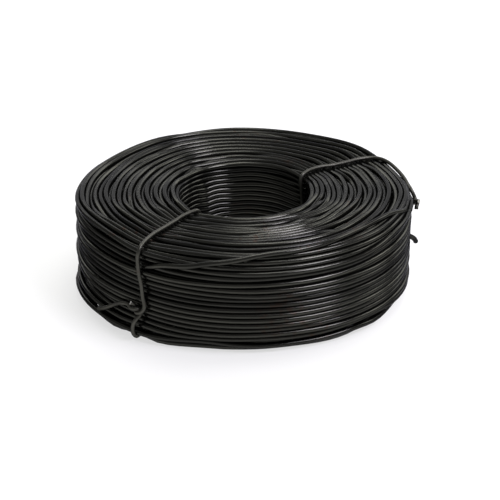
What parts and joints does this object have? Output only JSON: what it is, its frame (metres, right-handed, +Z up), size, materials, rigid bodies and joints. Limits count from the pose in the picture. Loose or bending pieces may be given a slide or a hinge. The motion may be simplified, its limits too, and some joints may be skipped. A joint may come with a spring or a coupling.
{
  "type": "coil of binding wire",
  "caption": "Small lying coil of dark annealed steel wire with an upright round bore, held by twisted wire ties through the bore, for tying reinforcing bar.",
  "frame": {"origin": "on the coil's axis, in the plane of the floor that the coil lies on", "axes": "+Z up along the bore, -Y towards the viewer in the picture, +X to the right in the picture"},
  "size_m": [0.1063, 0.103, 0.0316],
  "materials": {
    "annealed_wire": "black annealed steel wire with a thin dark oxide skin, satin with a slight oily sheen and faint brown rust in places",
    "tie_wire": "black annealed steel tie wire, satin, with bright cut ends"
  },
  "bodies": {
    "root": {"wire_coil": "annealed_wire", "tie_wire_front": "tie_wire", "tie_wire_rear": "tie_wire"}
  },
  "joints": []
}
